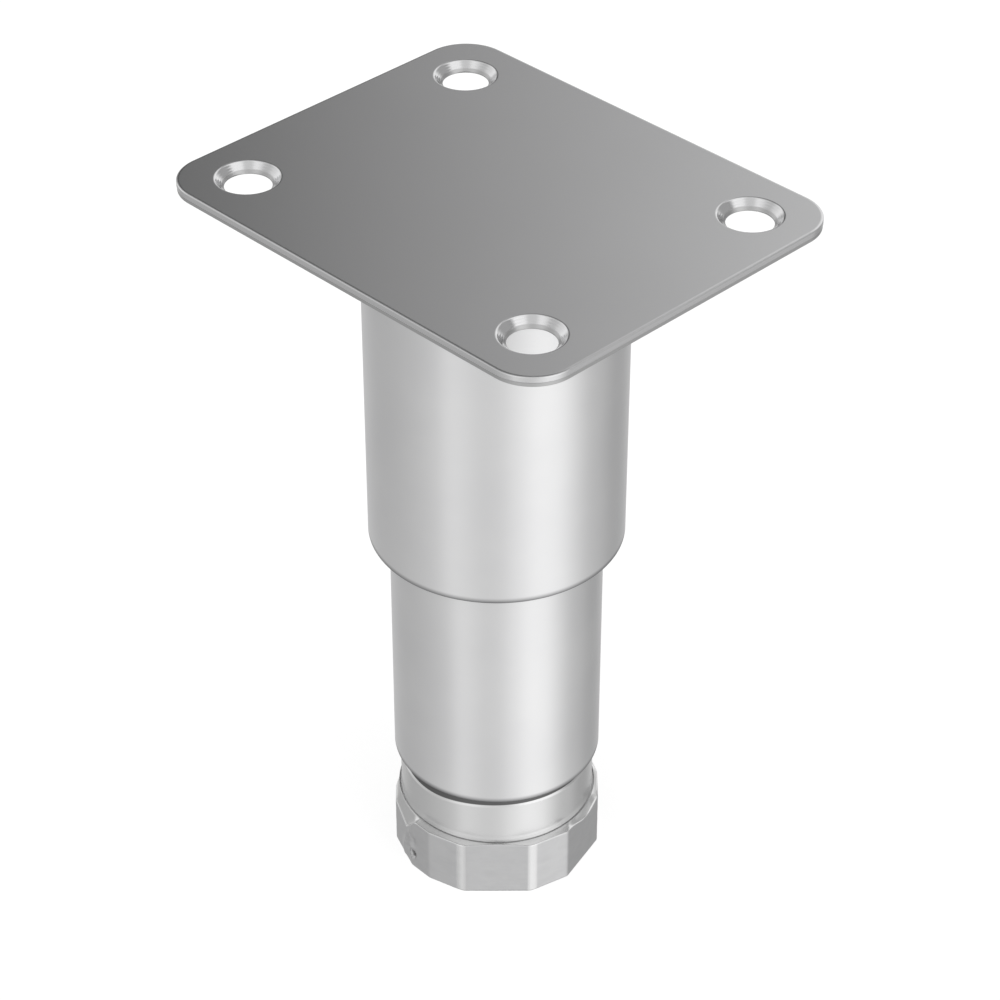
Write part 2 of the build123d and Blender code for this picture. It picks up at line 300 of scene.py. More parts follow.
def plate_quarter(mirror_x, mirror_y):
    """The fan of rays: underside inwards, up the bore and the countersink, top face outwards."""
    hole = rounded(
        [
            (bore_radius + face_below, plate_bottom, 0),
            (bore_radius, plate_bottom, mouth_rounding),
            (bore_radius, plate_top - (sink_radius - bore_radius), throat_rounding),
            (sink_radius, plate_top, lip_rounding),
            (sink_radius + face_above, plate_top, 0),
        ]
    )
    radius, height = hole[:, 0][:, None, None], hole[:, 1][:, None, None]
    level = np.broadcast_to(height, (len(hole), len(ray), 1))
    walls = np.concatenate([hole_centre + radius * ray, level], axis=-1)
    under = spokes(outline + outline_normal * rim_foot, walls[0, :, :2], under_shares, plate_bottom)
    top = spokes(walls[-1, :, :2], outline, top_shares, plate_top)
    fan = np.concatenate([under, walls, top]) * [mirror_x, mirror_y, 1]
    return np.concatenate([fan, fan[:, :1]], axis=1)


def plate_rim(mirror_x, mirror_y, roll_rows=17):
    """The rim's section (offset from the outline, height), carried along the outline's normals.

    The punch draws the top edge down in a quarter ellipse: reach * sin t outwards and
    drop * (1 - cos t) down, for t from 0 to a right angle.
    """
    t = np.linspace(0, math.pi / 2, roll_rows)
    roll = np.stack([roll_reach * np.sin(t), plate_top - roll_drop * (1 - np.cos(t))], axis=-1)
    wall = rounded(
        [
            (roll_reach, plate_top - roll_drop, 0),
            (roll_reach, plate_top - burnish_depth, tear_rounding),
            (roll_reach - torn_setback, plate_top - burnish_depth - tear_height, tear_rounding),
            (roll_reach - torn_setback, plate_bottom, bottom_rounding),
            (rim_foot, plate_bottom, 0),
        ]
    )
    offset, height = np.concatenate([roll, wall]).T
    on_rim = np.linalg.norm(outline_normal, axis=1) > 0.5
    at = outline[on_rim] + outline_normal[on_rim] * offset[:, None, None]
    level = np.broadcast_to(height[:, None, None], at.shape[:2] + (1,))
    return np.concatenate([at, level], axis=-1) * [mirror_x, mirror_y, 1]


quarters = [(1, 1), (-1, 1), (-1, -1), (1, -1)]
plate_grids = [plate_quarter(*q) for q in quarters] + [plate_rim(*q) for q in quarters]
make_piece("mounting_plate_fine", plate_grids, "fixed_top", "plate_steel")

# %% [markdown]
# ## The weld under the plate
# A bead laid by hand is a row of overlapping scales, each one a small pool that froze. The section
# of the bead goes round the tube, and a wave that bends backwards across the bead lifts its skin.

# %% Weld bead
bead_leg, bead_scales = 2.0, 74
scale_height, scale_lag = 0.09, 1.6


def weld_bead(rows=15, columns=888):
    """Section: a quarter wave from the plate to the tube, closed along the plate and the tube.

    The skin lies at leg * (0.80 + 0.16 sin(pi v)) from the corner, for v from 0 at the plate to 1
    at the tube. The scales add height * |sin(scales / 2 * angle)| ^ 0.6, and sin(pi v) fades them
    out at both edges. The angle is shifted by the square of the distance from the bead's middle
    line, which bends each scale backwards. Two slow waves let the bead grow and shrink.
    """
    u = np.linspace(0, 2 * math.pi, columns + 1)[None, :]
    v = np.linspace(0, 1, rows)[:, None]
    lag = scale_lag * (v - 0.5) ** 2 * 2 * math.pi / bead_scales * 4
    wander = 0.08 * np.sin(3 * u + 0.7) + 0.05 * np.sin(11 * u)
    scale = scale_height * np.abs(np.sin(bead_scales / 2 * (u + lag))) ** 0.6 * np.sin(math.pi * v)
    swell = bead_leg * (0.80 + 0.16 * np.sin(math.pi * v)) + scale + wander * np.sin(math.pi * v)
    corner_to_skin = 0.5 * math.pi * v
    r = upper_radius + swell * np.cos(corner_to_skin)
    z = plate_bottom - swell * np.sin(corner_to_skin)
    corner_r, corner_z = np.full_like(u, upper_radius), np.full_like(u, plate_bottom)
    r = np.concatenate([corner_r, r, corner_r])
    z = np.concatenate([corner_z, z, corner_z])
    return np.stack([r * np.cos(u), r * np.sin(u), z], axis=-1)


make_piece("tube_weld_fine", [weld_bead()], "fixed_top", "weld")

# %% [markdown]
# ## The foot
# A casting with wrench flats, a nearly level shoulder and a neck. Cut with flats in CAD, its edges
# are sharp. A casting that was tumbled has soft ones. So the outline of the base is worked out as a
# distance for every direction: the nearest of all flats and of the round blank, with a smooth
# minimum that rounds the corners between them.

# %% Outline of the foot's base
heading = math.radians(-44.6)
base_radius, base_height, shoulder_slope = 22.3, 12.75, 0.06
neck_radius, neck_top = 20.0, 22.6
# Each flat: its direction in degrees, and how deep it cuts into the round blank in millimetres
flats = [(a, 1.05) for a in (0, 60, 120, 180, -120)] + [(a, 0.3) for a in (30, 150, -30, -150)]
flats += [(90, 1.1), (-90, 1.1), (105, 1.3), (-105, 2.0), (-47, 0.2), (-68, 0.85)]
edge_sharpness, side_fullness = 24.0, 0.15
facing, far_away = 1.2, 99


def at_side(angle):
    """True on the two sides of the foot, where flats meet in edges with no land between them."""
    return np.abs(np.sin(angle)) > 0.5


def base_outline(angle):
    """Smooth minimum, -log(sum of exp(-k d)) / k, of the distances of the blank and of each flat.

    A flat that lies at the distance a from the axis is met at a / cos(angle - its direction). It
    counts only for the angles that it faces.
    """
    distances = [base_radius + side_fullness * at_side(angle)]
    for direction, depth in flats:
        off = (angle - math.radians(direction) + math.pi) % (2 * math.pi) - math.pi
        faces_us = np.abs(off) < facing
        met_at = (base_radius - depth) / np.cos(np.where(faces_us, off, 0))
        distances.append(np.where(faces_us, met_at, far_away))
    return -np.log(np.exp(-edge_sharpness * np.array(distances)).sum(axis=0)) / edge_sharpness


all_round = np.radians(np.arange(-180, 180))
reach_of_base = base_outline(all_round).round(2)
print("radius of the base:", reach_of_base.min(), "to", reach_of_base.max(), "mm")

# %% [markdown]
# The top of the base is nearly level, but its arris isn't. It stands up a little as a burr over the
# front flat, dips in the middle of the flats at the sides, and drops where the gate's leaf was
# broken off. A sum of soft bells, one for each rise or dip, and straight slopes for the leaf give
# its height for every direction.

# %% How far the arris of the base dips
# Each bell: degrees, half width in degrees, how far down in millimetres (a rise is negative)
arris_bells = [(0, 14, -0.25), (61, 11, 2.00), (120, 12, 1.90), (-120, 12, 1.90)]
neck_bells = [(-47, 28, 1.0), (50, 25, 0.10)]
# The broken leaf beside the gate: degrees, and how far down it is there
gate_leaf = [(-110, 0), (-80, 2.0), (-61, 4.4), (-50, 0)]


def in_degrees(angle):
    """The angle in degrees, from -180 to 180."""
    return (np.degrees(angle) + 180) % 360 - 180


def bells(angle, table):
    """Sum of depth * exp(-(angle from the bell's middle / half width)^2), angles in degrees."""
    degrees = in_degrees(angle)
    return sum(depth * np.exp(-(((degrees - middle) / wide) ** 2)) for middle, wide, depth in table)


def arris_dip(angle):
    """The bells, and the broken leaf, which falls slowly and ends steeply."""
    return bells(angle, arris_bells) + np.interp(in_degrees(angle), *np.array(gate_leaf).T)


print("deepest dip of the arris:", round(float(arris_dip(all_round).max()), 2))

# %% [markdown]
# The whole foot is one grid. Its section has corners that are tied to the outline: a corner on the
# outer wall moves out and in with it, and the upper one also rises a little where it moves in,
# because the shoulder slopes. Between the shoulder and the neck the lathe left a narrow groove. Above
# it the neck draws in softly, and at the top it ends in a small chamfer.

# %% Section of the foot
spigot_radius, socket_radius, socket_floor = 19.62, 8.05, 6.0
seal_groove_radius, seal_groove_low = 17.61, lower_bottom + 1.5
seal_groove_high = seal_groove_low + 2.4
pocket_radius, hub_radius, pocket_floor, rib_half = 16.21, 12.0, 8.0, 3.0
pocket_land = 0.6
recess_radius, recess_depth = 17.0, 0.8
shoulder_edge = base_height - (base_radius - neck_radius) * shoulder_slope
groove_reach, groove_floor, groove_depth = 0.48, 0.20, 0.45
lip_reach, lip_rise = 0.22, 0.10
flare_height, flare_rounding = 1.2, 2.5
chamfer_foot = neck_top - 0.45
wall_step = 0.45

# Each corner: radius, height, rounding, then how much it follows the outline, the slope and the wear
wall_corners = [
    (base_radius, 0, 0.25, 1, 0, 0),
    (base_radius, shoulder_edge, 0.3, 1, -shoulder_slope, 0),
    (neck_radius + groove_reach, base_height - groove_reach * shoulder_slope, 0.06, 0, 0, 0),
    (neck_radius + groove_floor, base_height - groove_depth, 0.05, 0, 0, 0),
    (neck_radius + lip_reach, base_height + lip_rise, 0.1, 0, 0, 0),
    (neck_radius, base_height + flare_height, flare_rounding, 0, 0, 0),
    (neck_radius, chamfer_foot, 0.2, 0, 0, 1),
    (spigot_radius, neck_top, 0, 0, 0, 1),
]
underside_corners = [
    (0, recess_depth, 0, 0, 0, 0),
    (recess_radius, recess_depth, 0.3, 0, 0, 0),
    (recess_radius, 0, 0.3, 0, 0, 0),
    (base_radius, 0, 0, 1, 0, 0),
]
spigot_corners = [
    (spigot_radius, neck_top, 0, 0, 0, 1),
    (spigot_radius, seal_groove_low, 0.1, 0, 0, 0),
    (seal_groove_radius, seal_groove_low, 0.1, 0, 0, 0),
    (seal_groove_radius, seal_groove_high, 0.1, 0, 0, 0),
    (spigot_radius, seal_groove_high, 0.1, 0, 0, 0),
    (spigot_radius, spigot_top, 0.4, 0, 0, 0),
    (pocket_radius + pocket_land, spigot_top, 0, 0, 0, 0),
]
socket_corners = [
    (hub_radius - pocket_land, spigot_top, 0),
    (socket_radius, spigot_top, 0.5),
    (socket_radius, socket_floor, 0.2),
    (0, socket_floor, 0),
]
outer_section = np.concatenate(
    [
        rounded(underside_corners)[:-1],
        rounded([(recess_radius + 1, 0, 0, 0, 0, 0), *wall_corners], longest=wall_step)[1:],
        rounded(spigot_corners)[1:],
    ]
)
socket_section = rounded(socket_corners)
print("rows in the foot's section:", len(outer_section) + len(socket_section))

# %% [markdown]
# A casting keeps traces of how it was made: low waves in its skin, and at the bottom of one side
# the stub of the gate through which the metal ran in, with a pinhole beside it. They are added to
# the distance of the outer wall, so they are shape and not only shading.

# %% Traces of casting
gate_marks = [
    # degrees, height, half width round the foot, half height, how far it stands out
    (-62.5, 2.2, 1.1, 2.2, 0.50),
    (-60.0, 5.2, 0.9, 1.0, 0.45),
    (-56.3, 7.5, 0.5, 0.7, 0.45),
    (-54.6, 5.4, 1.2, 0.6, 0.50),
    (-52.4, 7.2, 0.8, 0.8, -0.40),
    (-57.0, 3.4, 0.45, 1.3, -0.25),
]
pit_angle, pit_height, pit_radius, pit_depth = math.radians(-52.8), 3.3, 1.15, 1.3
skin_wave = 0.006
ground_from, ground_fade = 0.06, 0.05


def casting_marks(angle, height):
    """Soft lumps and dents, h * exp(-(x / a)^2 - (z / b)^2), less one round pinhole.

    The pinhole is depth * sqrt(1 - (distance / radius)^2) deep.
    """
    marks = 0
    for degrees, level, wide, tall, out in gate_marks:
        across = (angle - math.radians(degrees)) * base_radius / wide
        marks = marks + out * np.exp(-(across**2) - ((height - level) / tall) ** 2)
    from_pit = np.hypot((angle - pit_angle) * base_radius, height - pit_height)
    return marks - pit_depth * np.clip(1 - (from_pit / pit_radius) ** 2, 0, 1) ** 0.5


def ground_share(angle):
    """1 on the wrench flats, which were ground, and 0 on the turned lands between them.

    A flat is where the outline stays inside the round blank. The sides have no land left.
    """
    inside = (base_radius - ground_from - base_outline(angle)) / ground_fade
    return np.maximum(at_side(angle), np.clip(inside, 0, 1))


def cast_skin(angle, height):
    """Low waves, in millimetres: a sum of sines with whole numbers of waves round the foot."""
    waves = [(5, 1.3, 0.4), (9, -2.1, 2.1), (14, 1.9, 4.0)]
    return sum(skin_wave * np.sin(n * angle + k * height + start) for n, k, start in waves)


# %% [markdown]
# All rows go into one grid: from the middle of the underside up the wall, the neck and the spigot,
# down through the pocket inside it, and into the socket that holds the spindle. Four ribs cross the
# pocket. A Boolean could cut the pocket between them, but columns that step down beside each rib
# keep the foot in one clean grid.

# %% The foot as one grid
foot_columns, on_rib = 480, 8
unmarked_top, unmarked_foot = 0.4, 0.5


def pocket_rows():
    """Ring-shaped pocket in the spigot, crossed by four ribs with parallel sides.

    In each quarter the first and last eight columns lie on a rib. At the radius r the rib's side is
    at the angle asin(half its thickness / r), and two columns share that angle: one on top of the
    rib and one on the pocket's floor, so the faces between them make the rib's side.
    """
    quarter = foot_columns // 4
    column = np.arange(foot_columns + 1)
    step = column % quarter
    for r, deep in ((pocket_radius, 0), (pocket_radius, 1), (hub_radius, 1), (hub_radius, 0)):
        side = math.asin(rib_half / r)
        low = side * step / on_rib
        high = math.pi / 2 - side * (quarter - step) / on_rib
        between = side + (math.pi / 2 - 2 * side) * (step - on_rib - 1) / (quarter - 2 * on_rib - 2)
        turn = np.where(step <= on_rib, low, np.where(step >= quarter - on_rib, high, between))
        angle = turn + column // quarter * math.pi / 2 - math.pi
        floor = (step > on_rib) & (step < quarter - on_rib)
        height = np.where(floor & (deep == 1), pocket_floor, spigot_top)
        yield angle[None, :], np.full((1, len(column)), r), height[None, :].astype(float)


def foot_grid():
    """All rows of the foot, as (angle, radius, height) of each point, turned to its heading.

    A row of the section that follows the outline moves in by the outline's distance from the round
    blank. What lies on the outer wall sinks with the arris, in proportion to its height. Rows that
    follow the outline fully are the wall, and carry the marks of casting.
    """
    u = np.linspace(-math.pi, math.pi, foot_columns + 1)[None, :]
    r, z, out, down, worn = (outer_section[:, k][:, None] for k in range(5))
    pull = base_outline(u) - base_radius
    lowered = out * z / shoulder_edge * arris_dip(u) + worn * bells(u, neck_bells)
    radius, height = r + out * pull, z + down * pull - lowered
    marked = (out > 0.99) * (z < shoulder_edge - unmarked_top) * np.clip(height / unmarked_foot, 0, 1)
    radius = radius + marked * (casting_marks(u, height) + cast_skin(u, height))
    socket_radii, socket_heights = (part[:, None] + 0 * u for part in socket_section.T)
    rows = [
        (np.broadcast_to(u, radius.shape), radius, height),
        *pocket_rows(),
        (np.broadcast_to(u, socket_radii.shape), socket_radii, socket_heights),
    ]
    angle, radius, height = (np.concatenate(part) for part in zip(*rows))
    turned_to = angle + heading
    return np.stack([radius * np.cos(turned_to), radius * np.sin(turned_to), height], axis=-1)


foot = make_piece("foot_fine", [foot_grid()], "turning_foot", "cast_foot")

# %% [markdown]
# The flats were ground and the lands between them kept the shine of the lathe. The finish has to
# know which is which, so each point of the mesh carries its share of the ground finish.

# %% Share of the ground finish, kept on the mesh
wall_inside, wall_foot, arris_margin = neck_radius + 0.7, 0.15, 0.08
here = np.empty(len(foot.data.vertices) * 3)
foot.data.vertices.foreach_get("co", here)
x, y, z = here.reshape(-1, 3).T / mm
angle = np.arctan2(y, x) - heading
wall_top = shoulder_edge + (base_radius - base_outline(angle)) * shoulder_slope - arris_dip(angle)
on_base = (np.hypot(x, y) > wall_inside) & (z > wall_foot) & (z < wall_top - arris_margin)
share = ground_share(angle) * on_base
foot.data.attributes.new("ground", "FLOAT", "POINT").data.foreach_set("value", share)
print("points on the ground flats:", int((share > 0.5).sum()))

# %% [markdown]
# ## The spindle
# A screw thread is a helix: the radius depends only on how far a point lies along the thread, so a
# point at the angle u and the height z takes its radius from z / pitch - u / (2 pi). The plain end
# below, which turns in the bearing, blends into the thread over one turn.

# %% Threaded spindle
pitch, thread_depth, rows_a_turn = 2.0, 1.08, 16
spindle_low, spindle_high = box_mm("spindle")[0][2], box_mm("spindle")[1][2]
spindle_radius, end_chamfer = 8.0, 1.5
ring_low, ring_high = box_mm("retaining_ring")[0][2], box_mm("retaining_ring")[1][2] + 0.1
ring_floor = spindle_radius - 0.4
thread_start = ring_high + 3.0


def spindle_grid(columns=72):
    """Rows of rings up the spindle: the plain shaft, the thread, then the closed upper end.

    The thread cuts in by depth * (1.45 - 4 |wave - 0.5|), kept between nothing and the full depth,
    where the wave goes from 0 to 1 along each pitch. Both ends have a chamfer.
    """
    u = np.linspace(0, 2 * math.pi, columns + 1)[None, :]
    tip_radius = spindle_radius - end_chamfer
    plain = [
        (0, spindle_low, 0),
        (tip_radius, spindle_low, 0.2),
        (spindle_radius, spindle_low + end_chamfer, 0.3),
        (spindle_radius, ring_low, 0.05),
        (ring_floor, ring_low, 0.05),
        (ring_floor, ring_high, 0.05),
        (spindle_radius, ring_high, 0.05),
        (spindle_radius, thread_start, 0),
    ]
    shaft = rounded(plain)
    step = pitch / rows_a_turn
    z = np.arange(thread_start + step, spindle_high - 0.001, step)[:, None]
    wave = (z / pitch - u / (2 * math.pi)) % 1
    groove = np.clip(1.45 - np.abs(wave - 0.5) * 4, 0, 1)
    fade = np.clip((z - thread_start) / pitch, 0, 1)
    end_cone = np.clip(spindle_high - z, 0, end_chamfer)
    r = np.minimum(spindle_radius - thread_depth * groove * fade, tip_radius + end_cone)
    ring = 0 * u
    top = ring + spindle_high
    r = np.concatenate([shaft[:, 0][:, None] + ring, r, ring + tip_radius, ring])
    z = np.concatenate([shaft[:, 1][:, None] + ring, z + ring, top, top])
    return np.stack([r * np.cos(u), r * np.sin(u), z], axis=-1)


make_piece("spindle_fine", [spindle_grid()], "turning_foot", "plain_steel")

# %% [markdown]
# ## Writing shader maths
# Node trees are long to write by hand. A small class wraps a socket, so that `1 - mask * 0.5` adds
# the Math nodes it needs, and one method adds any other node from its type, its settings and what
# goes into its sockets.

# %% A socket that does arithmetic
class Wire:
    """Wraps an output socket. Each operator adds one Math node to the same tree."""

    def __init__(self, recipe, socket):
        self.recipe, self.socket = recipe, socket

    def math(self, operation, *values):
        """One Math node, with wires or numbers in its sockets."""
        sockets = dict(enumerate(values))
        return self.recipe.node("ShaderNodeMath", {"operation": operation}, sockets)

    def apply(self, operation, *others):
        """One Math node with this value first, such as a square root."""
        return self.math(operation, self, *others)

    def __add__(self, other):
        return self.math("ADD", self, other)

    def __sub__(self, other):
        return self.math("SUBTRACT", self, other)

    def __rsub__(self, other):
        return self.math("SUBTRACT", other, self)

    def __mul__(self, other):
        return self.math("MULTIPLY", self, other)

    def __abs__(self):
        return self.math("ABSOLUTE", self)

    __radd__, __rmul__ = __add__, __mul__

    def between(self, low, high):
        """0 where the value is at low, 1 at high, with a smooth step between them."""
        settings = {"interpolation_type": "SMOOTHSTEP"}
        return self.recipe.node("ShaderNodeMapRange", settings, {0: self, 1: low, 2: high})


# %% [markdown]
# A recipe is the node tree of one finish, or of the world. It holds the few things that every finish
# here needs: a place in millimetres, smooth noise, a tint between two colours, a bump, and the
# shader itself.

# %% A recipe adds nodes
class Recipe:
    """The node tree of a material or of the world, emptied and ready to be filled."""

    def __init__(self, owner):
        owner.use_nodes = True
        self.name, self.tree = owner.name, owner.node_tree
        self.tree.nodes.clear()

    def node(self, kind, settings, sockets, output=0):
        """Adds a node, sets it up, fills its sockets with values or wires, and wraps one output."""
        made = self.tree.nodes.new(kind)
        for name, value in settings.items():
            if name == "stops":
                self.set_stops(made.color_ramp, value)
            else:
                setattr(made, name, value)
        for name, value in sockets.items():
            if isinstance(value, Wire):
                self.tree.links.new(value.socket, made.inputs[name])
            else:
                made.inputs[name].default_value = value
        return Wire(self, made.outputs[output]) if len(made.outputs) else made

    def set_stops(self, ramp, stops):
        """A ramp's stops are pairs of a place from 0 to 1 and a grey level."""
        while len(ramp.elements) < len(stops):
            ramp.elements.new(1.0)
        ramp.interpolation = "EASE"
        for element, (place, level) in zip(ramp.elements, stops):
            element.position = place
            element.color = (level, level, level, 1)

    def place_mm(self):
        """Object coordinates in millimetres, so that scales below are in waves per millimetre."""
        metres = self.node("ShaderNodeTexCoord", {}, {}, "Object")
        sockets = {0: metres, "Scale": 1 / mm}
        return self.node("ShaderNodeVectorMath", {"operation": "SCALE"}, sockets)

    def stretched(self, place, scales):
        """The place with each axis multiplied by its own scale, which draws a pattern out."""
        return self.node("ShaderNodeVectorMath", {"operation": "MULTIPLY"}, {0: place, 1: scales})

    def noise(self, place, scale, detail=3.0, roughness=0.5):
        """Smooth noise about 0.5, with the given number of lumps per millimetre."""
        sockets = {"Vector": place, "Scale": scale, "Detail": detail, "Roughness": roughness}
        return self.node("ShaderNodeTexNoise", {}, sockets, "Fac")

    def axes(self, place):
        """The three coordinates of a place as wires."""
        split = self.node("ShaderNodeSeparateXYZ", {}, {0: place})
        return [Wire(self, socket) for socket in split.socket.node.outputs]

    def tint(self, share, first, second):
        """The first colour where the share is 0, the second where it is 1."""
        return self.node("ShaderNodeMix", {"data_type": "RGBA"}, {0: share, 6: first, 7: second}, 2)

    def bump(self, height, strength, distance):
        """A normal tilted by a height. The distance is in metres."""
        sockets = {"Height": height, "Strength": strength, "Distance": distance}
        return self.node("ShaderNodeBump", {}, sockets, "Normal")

    def shade(self, sockets):
        """The shader itself, wired to the material's output."""
        surface = self.node("ShaderNodeBsdfPrincipled", {}, sockets)
        self.node("ShaderNodeOutputMaterial", {}, {"Surface": surface})
        print(f"finish {self.name}: {len(self.tree.nodes)} nodes")


def distance(x, y):
    """The wire sqrt(x * x + y * y), how far a place is from a line along Z."""
    return (x * x + y * y).apply("SQRT")


finishes = {}


def new_finish(name):
    """An empty material of that name, kept in the table of finishes, and its recipe."""
    finishes[name] = bpy.data.materials.new(name)
    return Recipe(finishes[name])


# %% [markdown]
# ## Polished tube
# The tube turned against a belt, so its finest scratches run round it. They spread a highlight along
# the tube and leave it narrow across, which is why such a tube shows upright bands of light. The
# shader's anisotropy does that. Noise that is drawn out round the tube adds the few scratches that
# can be seen, and wide noise adds the faint clouds that hands and oil leave. The last millimetre or
# so above the lower cut end of each tube is painted dark: painted shade for the dark line under the
# rim.

# %% Polished tube
recipe = new_finish("tube_steel")
place = recipe.place_mm()
round_the_tube = (0.05, 0.05, 5.0)
scratches = recipe.noise(recipe.stretched(place, round_the_tube), 1.0, 4.0, 0.65)
clouds = recipe.noise(place, 0.045, 3.0)
x, y, z = recipe.axes(place)
between_tubes = (upper_radius - 2.0, upper_radius - 1.6)
on_upper = distance(x, y).between(*between_tubes)
end_height = lower_bottom + on_upper * (upper_bottom - lower_bottom)
above_end = z - end_height
rim_shade_height = 1.5
# Painted shade: near the lower end of each tube the colour is painted dark, for the shade line under
# its rim.
painted_rim_shade = (1 - above_end.between(0.1, rim_shade_height)) * above_end.between(-0.2, 0.0)
cloudy = recipe.tint(clouds.between(0.3, 0.7), (0.80, 0.80, 0.805, 1), (0.84, 0.84, 0.842, 1))
recipe.shade(
    {
        "Base Color": recipe.tint(painted_rim_shade, cloudy, (0.28, 0.28, 0.285, 1)),
        "Metallic": 1.0,
        "Roughness": 0.36 + (scratches - 0.5) * 0.05 + (clouds - 0.5) * 0.06,
        "Anisotropic": 0.8,
        "Anisotropic Rotation": 0.25,
        "Normal": recipe.bump(scratches, 0.10, 0.00002),
    }
)

# %% [markdown]
# ## Plate, ground flat
# The plate has the same steel with a finer, even grain. The countersinks are turned, so they carry
# rings round each hole: the distance from the nearest hole's centre makes both the mask and the
# rings. The torn lower part of the rim is rougher and darker than the burnished upper part.

# %% Plate
recipe = new_finish("plate_steel")
place = recipe.place_mm()
x, y, z = recipe.axes(place)
from_hole_x, from_hole_y = abs(x) - hole_x, abs(y) - hole_y
from_hole = distance(from_hole_x, from_hole_y)
in_sink = 1 - from_hole.between(sink_radius - 0.1, sink_radius + 0.05)
ring_waves = 16.0
rings = (from_hole * ring_waves).apply("SINE")
grain = recipe.noise(recipe.stretched(place, (0.12, 4.0, 4.0)), 1.0, 4.0, 0.6)
clouds = recipe.noise(place, 0.03, 3.0)
torn_from = plate_top - burnish_depth
torn = 1 - z.between(torn_from - 0.15, torn_from)
tears = recipe.noise(recipe.stretched(place, (3.0, 3.0, 0.8)), 1.0, 4.0, 0.7)
relief = (grain - 0.5) * 0.3 * (1 - in_sink) + rings * in_sink * 0.5 + tears * torn * 2.0
darker = torn * 0.8 + clouds * 0.2
roughness = 0.24 + (clouds - 0.5) * 0.05 + (grain - 0.5) * 0.03 + torn * 0.14 - in_sink * 0.08
recipe.shade(
    {
        "Base Color": recipe.tint(darker, (0.70, 0.70, 0.705, 1), (0.48, 0.48, 0.48, 1)),
        "Metallic": 1.0,
        "Roughness": roughness,
        "Normal": recipe.bump(relief, 0.25, 0.00003),
    }
)

# %% [markdown]
# ## Cast and tumbled foot
# Cast steel, turned on the neck and ground on the flats: fine pits everywhere, level smears where
# the wrench slid along the flats, and a soft shine where the lathe cut. The spigot above the neck
# is left rougher and painted dark, as painted shade, so the joint under the lower tube reads as a
# dark gap. The pinhole is painted dark as painted shade in a recess, and the groove at the neck's
# foot gets a little painted shade too, but not beside the gate.

# %% Foot
recipe = new_finish("cast_foot")
place = recipe.place_mm()
x, y, z = recipe.axes(place)
ground = recipe.node("ShaderNodeAttribute", {"attribute_name": "ground"}, {}, "Fac")
pores = recipe.noise(place, 3.2, 5.0, 0.7)
smears = recipe.noise(recipe.stretched(place, (0.30, 0.30, 0.9)), 1.0, 4.0, 0.6)
lumps = recipe.noise(place, 0.35, 3.0, 0.5)
from_axis = distance(x, y)
# Painted shade: the spigot above the neck is painted dark, for the dark gap under the lower tube.
spigot_skin, gap_shade_height = (neck_radius - 0.35, neck_radius - 0.28), (18.0, 18.2)
painted_gap_shade = (1 - from_axis.between(*spigot_skin)) * z.between(*gap_shade_height)
# Painted shade in the groove at the neck's foot, mostly left off beside the gate, and in the pinhole.
groove_inside, groove_outside = (19.2, 19.4), (neck_radius + 0.38, neck_radius + 0.50)
groove_bottom, groove_top = (11.0, 11.2), (base_height - 0.05, base_height + 0.25)
in_groove = from_axis.between(*groove_inside) * (1 - from_axis.between(*groove_outside))
in_groove = in_groove * z.between(*groove_bottom) * (1 - z.between(*groove_top))
unshaded_side = heading + math.radians(-85)
toward_gate = x * math.cos(unshaded_side) + y * math.sin(unshaded_side)
unshaded_from, groove_shade_removed, groove_painted_shade = (14.0, 18.0), 0.85, 0.15
in_groove = in_groove * (1 - toward_gate.between(*unshaded_from) * groove_shade_removed)
pit_floor_radius, pit_fade = base_radius - pit_depth, (0.9, 1.4)
pit_place = (
    pit_floor_radius * math.cos(heading + pit_angle),
    pit_floor_radius * math.sin(heading + pit_angle),
    pit_height,
)
both_places = {0: place, 1: pit_place}
from_pit = recipe.node("ShaderNodeVectorMath", {"operation": "DISTANCE"}, both_places, "Value")
# Painted shade: the darker of the groove's and the pinhole's painted shade darkens the colour.
painted_recess_shade = (in_groove * groove_painted_shade).apply("MAXIMUM", 1 - from_pit.between(*pit_fade))
shade = (smears * 0.6 + lumps * 0.4).between(0.30, 0.70)
dulled = ground * (0.72 + shade * 0.28)
metal = recipe.tint(dulled, (0.74, 0.74, 0.74, 1), (0.61, 0.61, 0.615, 1))
recipe.shade(
    {
        "Base Color": recipe.tint(painted_gap_shade.apply("MAXIMUM", painted_recess_shade), metal, (0.15, 0.15, 0.15, 1)),
        "Metallic": 1.0,
        "Roughness": 0.26 + ground * 0.11 + (lumps - 0.5) * 0.06 + painted_gap_shade * 0.15,
        "Normal": recipe.bump(pores * 0.30 + lumps * (0.1 + ground * 0.8), 0.22, 0.00010),
    }
)

# %% [markdown]
# ## The other finishes
# Weld, zinc plate, spring steel, two plastics and rubber. Most of them are inside the leg, where
# only a cut or a moved joint shows them, but each still has its own grain. A weld keeps a brown haze
# of soot from its heat, in soft patches over a fine grit.

# %% Weld
recipe = new_finish("weld")
place = recipe.place_mm()
soot = recipe.noise(place, 0.6, 4.0, 0.6)
grit = recipe.noise(place, 5.0, 3.0, 0.6)
sooty = soot.between(0.35, 0.7)
recipe.shade(
    {
        "Base Color": recipe.tint(sooty, (0.62, 0.60, 0.57, 1), (0.36, 0.33, 0.30, 1)),
        "Metallic": 1.0,
        "Roughness": 0.30 + soot * 0.15 + (grit - 0.5) * 0.1,
        "Normal": recipe.bump(grit, 0.2, 0.00005),
    }
)

# %% [markdown]
# Plating grows in small crystals, so it has soft spangles that differ a little in brightness and in
# gloss. One function serves the bright zinc of the turned parts and the dark ring of spring steel.

